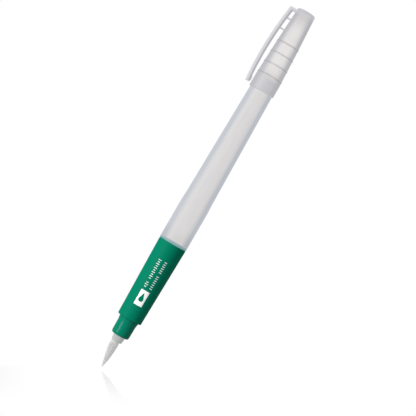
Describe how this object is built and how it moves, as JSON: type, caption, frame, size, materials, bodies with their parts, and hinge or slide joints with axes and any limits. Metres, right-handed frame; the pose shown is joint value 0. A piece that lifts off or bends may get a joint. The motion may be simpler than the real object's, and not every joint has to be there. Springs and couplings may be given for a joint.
{
  "type": "refillable brush pen",
  "caption": "Refillable water-brush pen: fine bristle tip, green screw-on grip, squeezable clear barrel, and a clipped cap posted on the tail.",
  "frame": {"origin": "the very tip of the bristles, on the pen's axis", "axes": "+Z along the pen's axis from the bristle tip to the cap's top; the clip lies towards -Y; the printed side of the grip faces +X"},
  "size_m": [0.012, 0.0146, 0.164],
  "materials": {
    "bristle": "fine nylon fibre",
    "bristle_root": "melted nylon",
    "holder_clear": "translucent, smooth",
    "nose_green": "smooth gloss",
    "grip_green": "fine satin texture",
    "feed_white": "moulded",
    "wick_fibre": "bonded fibre",
    "gasket_rubber": "soft, matt",
    "plug_white": "moulded",
    "barrel_clear": "milky translucent, satin",
    "liner_white": "soft moulded",
    "cap_clear": "milky translucent, satin"
  },
  "bodies": {
    "barrel_body": {"barrel": "barrel_clear", "flow_plug": "plug_white"},
    "seal_ring": {"neck_gasket": "gasket_rubber"},
    "section": {"grip": "grip_green", "nose": "nose_green", "brush_holder": "holder_clear", "tuft_butt": "bristle_root", "feed": "feed_white", "feed_wick": "wick_fibre"},
    "tuft": {"bristle_tuft": "bristle"},
    "cap": {"cap_shell": "cap_clear", "cap_liner": "liner_white"},
    "clip": {"clip_arm": "cap_clear"}
  },
  "joints": [
    {"name": "section_travel", "type": "slide", "parent": "barrel_body", "child": "seal_ring", "axis": [0, 0, -1], "range_m": [0, 0.006]},
    {"name": "section_turn", "type": "hinge", "parent": "seal_ring", "child": "section", "pos_m": [0, 0, 0.049], "axis": [0, 0, -1], "range_deg": [0, 1083]},
    {"name": "tuft_bend", "type": "hinge", "parent": "section", "child": "tuft", "pos_m": [0, 0, 0.012], "axis": [1, 0, 0], "range_deg": [-18, 18], "stiffness_Nm_per_rad": 0.004},
    {"name": "cap_pull", "type": "slide", "parent": "barrel_body", "child": "cap", "axis": [0, 0, 1], "range_m": [0, 0.02]},
    {"name": "clip_flex", "type": "hinge", "parent": "cap", "child": "clip", "pos_m": [0, -0.00809, 0.15293], "axis": [-1, 0, 0], "range_deg": [0, 6], "stiffness_Nm_per_rad": 0.2}
  ],
  "couplings": [
    {"joint": "section_turn", "follows": "section_travel", "rad_per_m": 3141.6}
  ]
}
